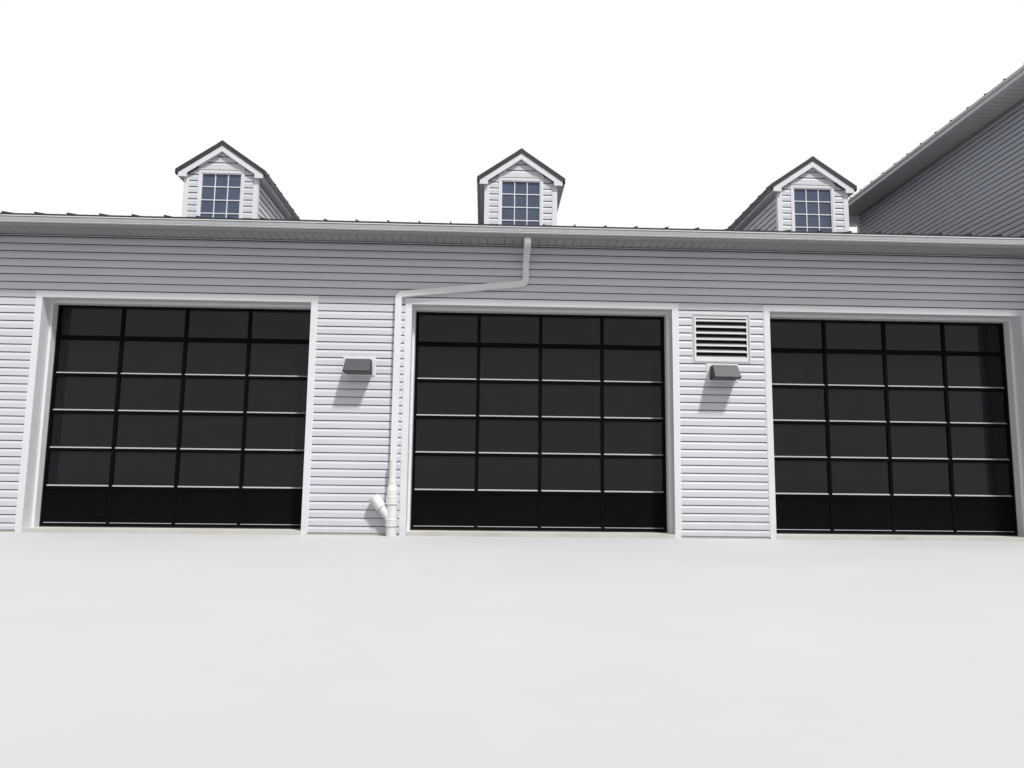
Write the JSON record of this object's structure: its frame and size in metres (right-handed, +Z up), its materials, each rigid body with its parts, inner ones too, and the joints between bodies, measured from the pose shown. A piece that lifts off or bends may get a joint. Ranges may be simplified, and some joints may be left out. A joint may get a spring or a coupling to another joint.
{
  "type": "fire station building",
  "caption": "Low apparatus wing with overhead doors, lap siding, metal roof and gabled dormers, joined to a taller wing.",
  "frame": {"origin": "middle of the building's outline, on the ground it stands on", "axes": "+X along the front to the viewer's right, +Y from the front to the back, +Z up; the front faces -Y"},
  "size_m": [26.198, 21.7204, 8.9257],
  "materials": {
    "concrete": "matt",
    "siding": "satin",
    "roof_metal": "satin",
    "eave_trim": "satin",
    "gutter_metal": "satin",
    "pipe_plastic": "satin",
    "white_trim": "satin",
    "door_metal": "satin",
    "door_glass": "polished",
    "window_glass": "polished",
    "lamp_metal": "matt"
  },
  "bodies": {
    "root": {"floor_slab": "concrete", "front_pier_left": "siding", "front_pier_centre_left": "siding", "front_pier_centre_right": "siding", "front_pier_right": "siding", "front_header": "siding", "back_wall": "siding", "left_gable_wall": "siding", "right_gable_wall": "siding", "roof_front": "roof_metal", "roof_back": "roof_metal", "ridge_caps": "roof_metal", "eave_front": "eave_trim", "eave_back": "eave_trim", "gutter_front": "gutter_metal", "gutter_back": "gutter_metal", "downspout": "gutter_metal", "standpipe": "pipe_plastic", "door_casing_left": "white_trim", "door_casing_middle": "white_trim", "door_casing_right": "white_trim", "door_left": "door_metal", "door_middle": "door_metal", "door_right": "door_metal", "door_glass_left": "door_glass", "door_glass_middle": "door_glass", "door_glass_right": "door_glass", "louver": "white_trim", "light_blocks": "white_trim", "wall_lights": "lamp_metal", "dormer_walls": "siding", "dormer_roofs": "roof_metal", "dormer_trim": "white_trim", "dormer_sashes": "white_trim", "dormer_glass": "window_glass", "tall_front_wall": "siding", "tall_back_wall": "siding", "tall_left_wall": "siding", "tall_right_wall": "siding", "tall_roof_left": "roof_metal", "tall_roof_right": "roof_metal", "tall_eave_left": "eave_trim", "tall_eave_right": "eave_trim", "rake_trim": "white_trim", "corner_posts": "white_trim"}
  },
  "joints": []
}
